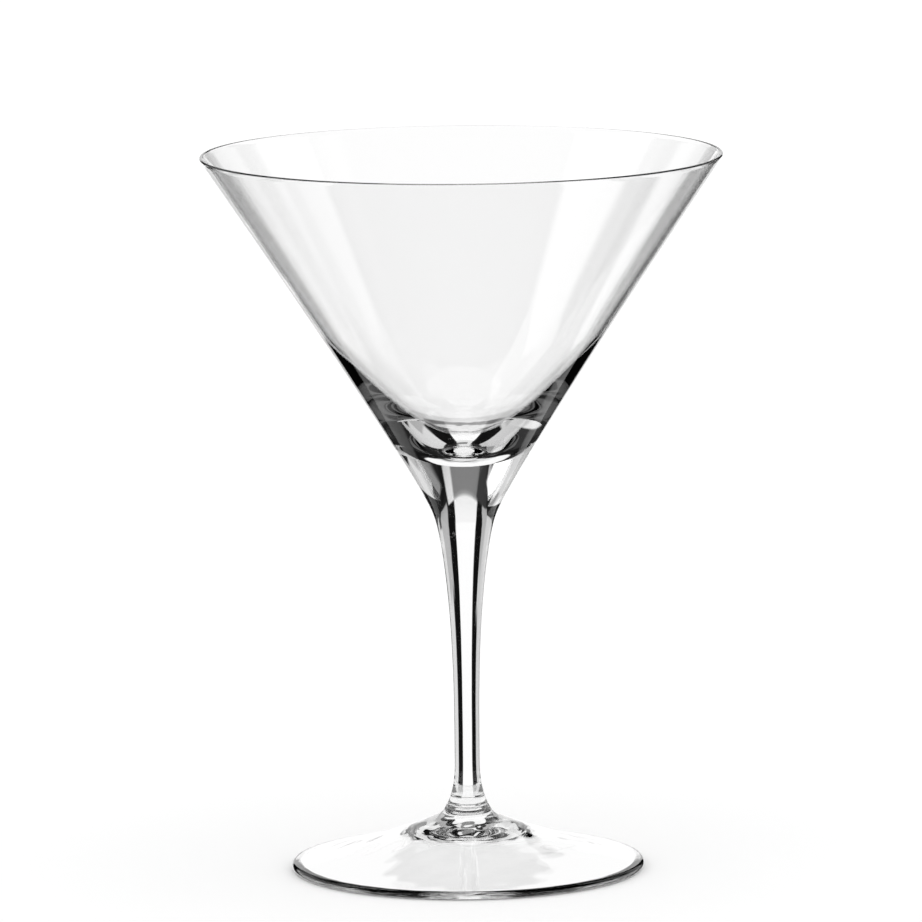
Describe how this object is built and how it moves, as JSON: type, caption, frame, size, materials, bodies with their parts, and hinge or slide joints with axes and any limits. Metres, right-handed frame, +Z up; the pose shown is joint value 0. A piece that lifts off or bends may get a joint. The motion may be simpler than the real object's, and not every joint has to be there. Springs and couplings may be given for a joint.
{
  "type": "martini glass",
  "caption": "Clear martini glass: a thin conical bowl with a solid tip, a slim drawn stem flared at both ends, and a round foot.",
  "frame": {"origin": "centre of the plane that the foot rests on", "axes": "+Z up along the glass's axis of revolution, from the foot to the lip; the glass is round, so X and Y are any two level directions"},
  "size_m": [0.12, 0.12, 0.166],
  "materials": {
    "bowl_glass": "clear blown crystal, fire-polished, thin wall",
    "stem_glass": "clear drawn crystal, solid, fire-polished",
    "foot_glass": "clear spun crystal, fire-polished top and ground resting ring"
  },
  "bodies": {
    "root": {"bowl": "bowl_glass", "stem": "stem_glass", "foot": "foot_glass"}
  },
  "joints": []
}
